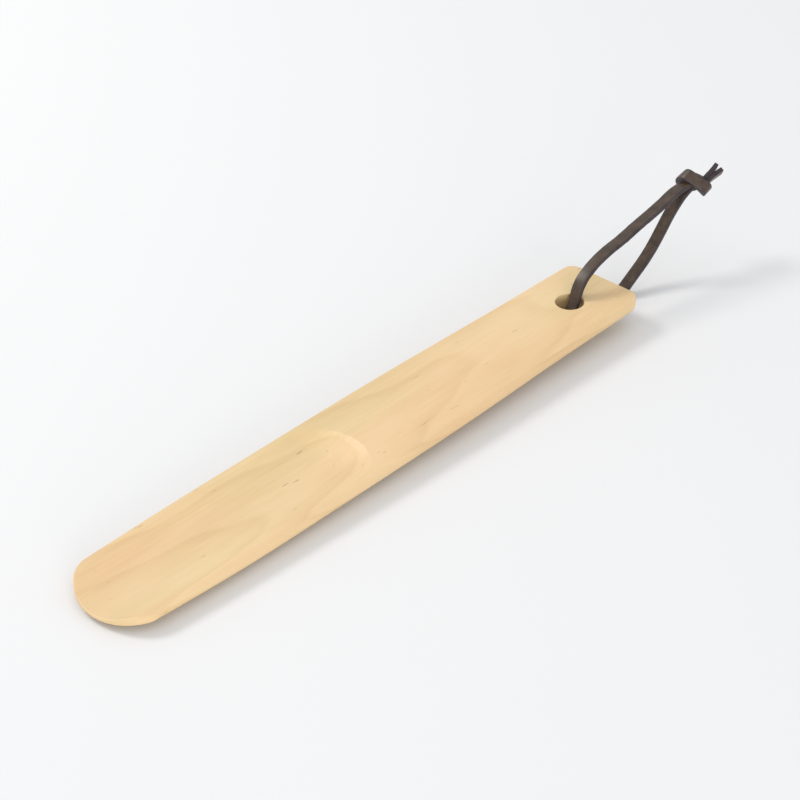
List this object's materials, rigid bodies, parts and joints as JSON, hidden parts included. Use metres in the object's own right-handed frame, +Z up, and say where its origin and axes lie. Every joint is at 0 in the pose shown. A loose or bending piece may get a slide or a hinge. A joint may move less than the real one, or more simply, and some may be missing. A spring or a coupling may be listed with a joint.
{
  "type": "shoehorn",
  "caption": "Hand shoehorn: a slim wooden blade with a shallow scoop and a flat handle, with a flat leather hanging thong knotted through a hole.",
  "frame": {"origin": "on the table, below the middle of the wooden horn's length and width, as it lies", "axes": "+X along the horn from the blade to the handle, +Y across it, +Z up; the horn's top face slopes up 1.5 degrees towards the handle"},
  "size_m": [0.3372, 0.0412, 0.0429],
  "materials": {
    "wood": "smooth, lightly oiled pale hardwood",
    "leather": "dark brown lace, waxed grain side and rough flesh side"
  },
  "bodies": {
    "horn": {"shoehorn": "wood"},
    "thong": {"thong_loop": "leather", "thong_knot": "leather", "thong_tail_upper": "leather", "thong_tail_lower": "leather"}
  },
  "joints": [
    {"name": "thong_swing", "type": "hinge", "parent": "horn", "child": "thong", "pos_m": [0.1114, 0, 0.009], "axis": [0, 0, 1], "range_deg": [-90, 90]}
  ]
}
